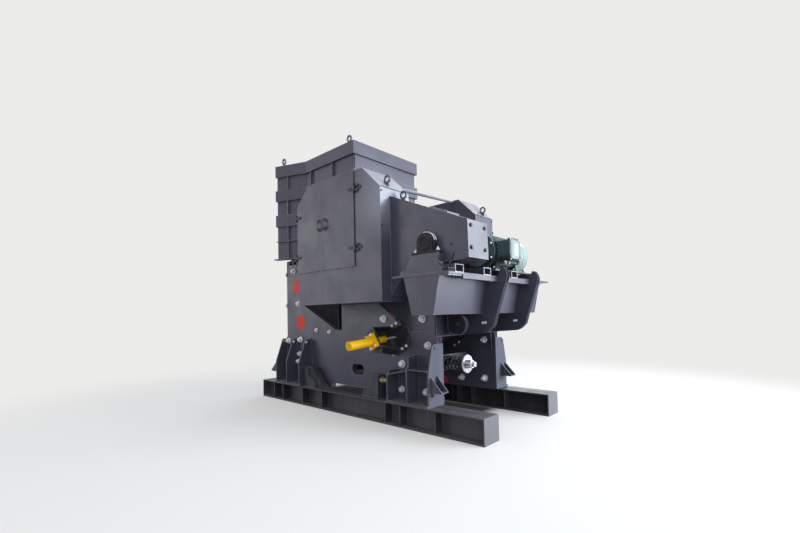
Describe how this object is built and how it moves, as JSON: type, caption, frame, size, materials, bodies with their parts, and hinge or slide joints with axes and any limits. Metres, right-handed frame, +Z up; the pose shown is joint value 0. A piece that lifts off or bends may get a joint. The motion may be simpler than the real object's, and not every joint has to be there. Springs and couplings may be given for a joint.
{
  "type": "jaw crusher",
  "caption": "Heavy jaw crusher on two skid beams with banded feed hopper, boxed flywheel guards with doors, belt guard and a rear motor platform.",
  "frame": {"origin": "on the ground, in the middle of the length and width", "axes": "+X towards the motor platform, -Y towards the side whose guard doors open, +Z up"},
  "size_m": [5.68, 3.6544, 5.1098],
  "materials": {
    "paint_dark": "satin slate grey machine paint",
    "paint_beam": "satin dark grey machine paint, dusty",
    "paint_black": "satin near-black machine paint",
    "paint_yellow": "gloss orange-yellow hydraulic paint",
    "paint_teal": "satin pale grey-green motor paint",
    "cast_dark": "painted casting",
    "jaw_steel": "cast manganese steel, dull",
    "bright_steel": "machined steel",
    "belt_rubber": "matte belt rubber"
  },
  "bodies": {
    "frame": {"skid_beams": "paint_beam", "side_plate_near": "paint_dark", "side_plate_far": "paint_dark", "front_wall": "paint_dark", "rear_beam": "paint_dark", "fixed_jaw_plate": "jaw_steel", "swing_jaw": "cast_dark", "swing_jaw_plate": "jaw_steel", "cheek_plates": "jaw_steel", "toggle_plate": "cast_dark", "wedge_blocks": "cast_dark", "wedge_housings": "paint_black", "adjusting_cylinders": "paint_yellow", "tension_rod": "bright_steel", "tension_spring": "paint_black", "spring_seat": "paint_black", "eccentric_shaft": "bright_steel", "bearing_housings": "paint_dark", "flywheel_near": "cast_dark", "flywheel_far": "cast_dark", "drive_belt": "belt_rubber", "jackshaft": "bright_steel", "guard_near": "paint_dark", "guard_far": "paint_dark", "door_hinges": "paint_dark", "doors_far": "paint_dark", "belt_guard": "paint_dark", "guard_tie_bar": "paint_dark", "platform_tray": "paint_dark", "platform_deck": "paint_dark", "platform_arms": "paint_black", "base_tubes": "paint_dark", "motor": "paint_teal", "motor_fan_cowl": "paint_teal", "motor_terminal_box": "paint_teal", "bearing_pedestal": "paint_dark", "pillow_block": "paint_black", "hopper_sides": "paint_dark", "hopper_rear_wall": "paint_dark", "hopper_front_sill": "paint_dark", "hopper_bands": "paint_dark", "front_feet": "paint_black", "rear_feet": "paint_black", "beam_stoppers": "paint_black", "lifting_eyes": "paint_dark"},
    "door_front": {"door_front": "paint_dark"},
    "door_rear": {"door_rear": "paint_dark"}
  },
  "joints": [
    {"name": "door_front_hinge", "type": "hinge", "parent": "frame", "child": "door_front", "pos_m": [-0.752, -1.598, 3.138], "axis": [0, 0, 1], "range_deg": [-110, 0]},
    {"name": "door_rear_hinge", "type": "hinge", "parent": "frame", "child": "door_rear", "pos_m": [0.857, -1.598, 3.244], "axis": [0, 0, 1], "range_deg": [0, 110]}
  ]
}
